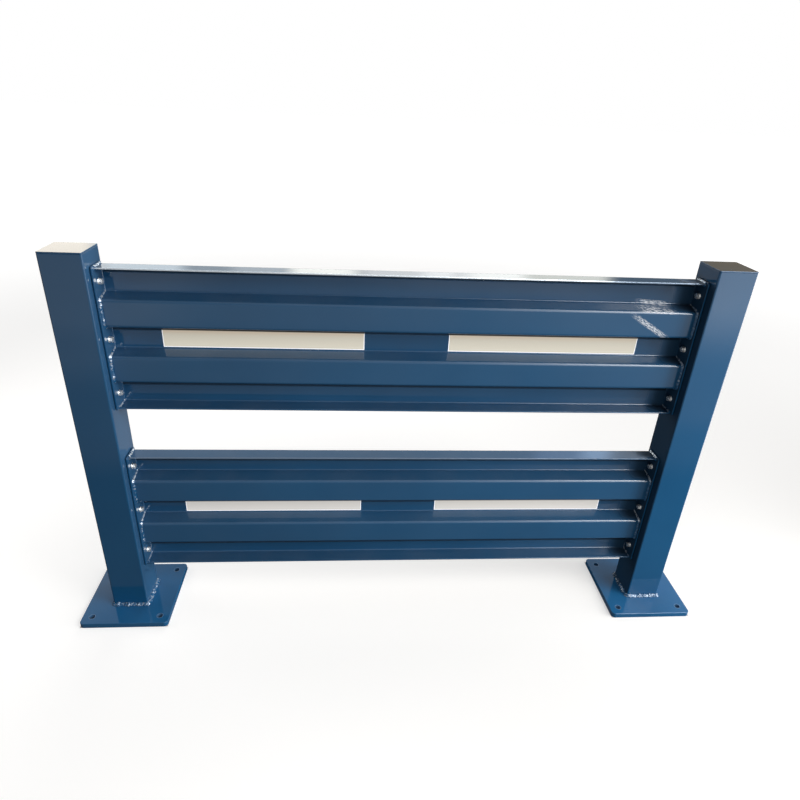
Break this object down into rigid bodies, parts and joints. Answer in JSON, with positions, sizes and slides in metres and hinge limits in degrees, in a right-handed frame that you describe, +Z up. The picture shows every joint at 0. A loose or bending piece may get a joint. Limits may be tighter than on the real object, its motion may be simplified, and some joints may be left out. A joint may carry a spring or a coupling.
{
  "type": "bolt-down steel safety guardrail bay",
  "caption": "Free-standing steel guardrail bay: square posts on base plates carry two wide ribbed rails between bolted end plates, with pale strips along the middle recess.",
  "frame": {"origin": "on the floor, midway between the two posts: bottom centre of the bounding box", "axes": "+X along the rails, +Y from the ribbed front to the back, +Z up"},
  "size_m": [1.85, 0.25, 1.078],
  "materials": {
    "blue_powder_coat": "glossy dark blue powder coat",
    "coated_weld": "weld bead under the same glossy blue coat",
    "zinc_plate": "bright zinc plated steel",
    "pale_strip": "pale fine-textured strip"
  },
  "bodies": {
    "root": {"left_base_plate": "blue_powder_coat", "left_post": "blue_powder_coat", "left_post_cap": "blue_powder_coat", "left_foot_weld": "coated_weld", "right_base_plate": "blue_powder_coat", "right_post": "blue_powder_coat", "right_post_cap": "blue_powder_coat", "right_foot_weld": "coated_weld", "upper_rail": "blue_powder_coat", "upper_left_end_plate": "blue_powder_coat", "upper_left_end_weld": "coated_weld", "upper_left_packing": "zinc_plate", "upper_left_strip": "pale_strip", "upper_right_end_plate": "blue_powder_coat", "upper_right_end_weld": "coated_weld", "upper_right_packing": "zinc_plate", "upper_right_strip": "pale_strip", "lower_rail": "blue_powder_coat", "lower_left_end_plate": "blue_powder_coat", "lower_left_end_weld": "coated_weld", "lower_left_packing": "zinc_plate", "lower_left_strip": "pale_strip", "lower_right_end_plate": "blue_powder_coat", "lower_right_end_weld": "coated_weld", "lower_right_packing": "zinc_plate", "lower_right_strip": "pale_strip"}
  },
  "joints": []
}
